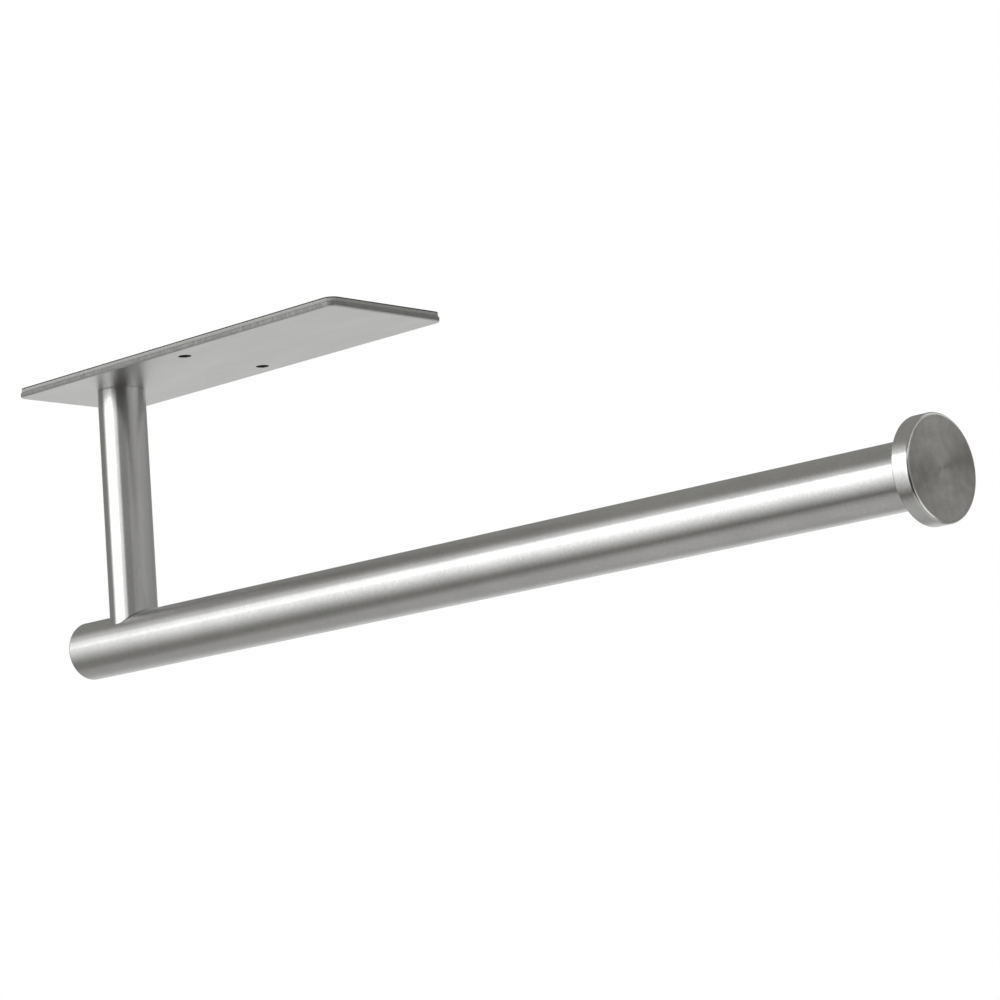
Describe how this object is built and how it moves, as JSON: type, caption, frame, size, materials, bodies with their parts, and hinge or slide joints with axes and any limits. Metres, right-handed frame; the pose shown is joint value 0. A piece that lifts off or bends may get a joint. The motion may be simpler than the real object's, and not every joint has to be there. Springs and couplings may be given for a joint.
{
  "type": "paper towel holder",
  "caption": "Under-cabinet paper towel holder: flat mounting plate, short tubular post and a long horizontal bar that ends in a round disc.",
  "frame": {"origin": "centre of the mounting face, which is the top of the adhesive pad and lies against the shelf or cabinet", "axes": "+Z out of the mounting face towards the shelf, +X along the bar towards its open end and round disc, +Y across the plate"},
  "size_m": [0.3558, 0.0486, 0.1025],
  "materials": {
    "brushed_steel": "fine brushed stainless steel",
    "faced_steel": "stainless steel with fine turning rings on its face",
    "turned_steel": "plain turned steel",
    "plated_fastener": "bright zinc plating",
    "foam_tape": "grey closed-cell foam",
    "liner_film": "dark satin film",
    "bush_plastic": "black moulded nylon"
  },
  "bodies": {
    "root": {"mounting_plate": "brushed_steel", "post_boss": "turned_steel", "adhesive_pad": "foam_tape", "release_liner": "liner_film", "post_tube": "brushed_steel", "saddle_bush": "bush_plastic", "tie_bolt": "plated_fastener", "bar_tube": "brushed_steel", "saddle_nut": "turned_steel", "bar_end_plug": "brushed_steel", "cap_insert": "turned_steel", "cap_stud": "plated_fastener", "end_cap": "faced_steel"}
  },
  "joints": []
}
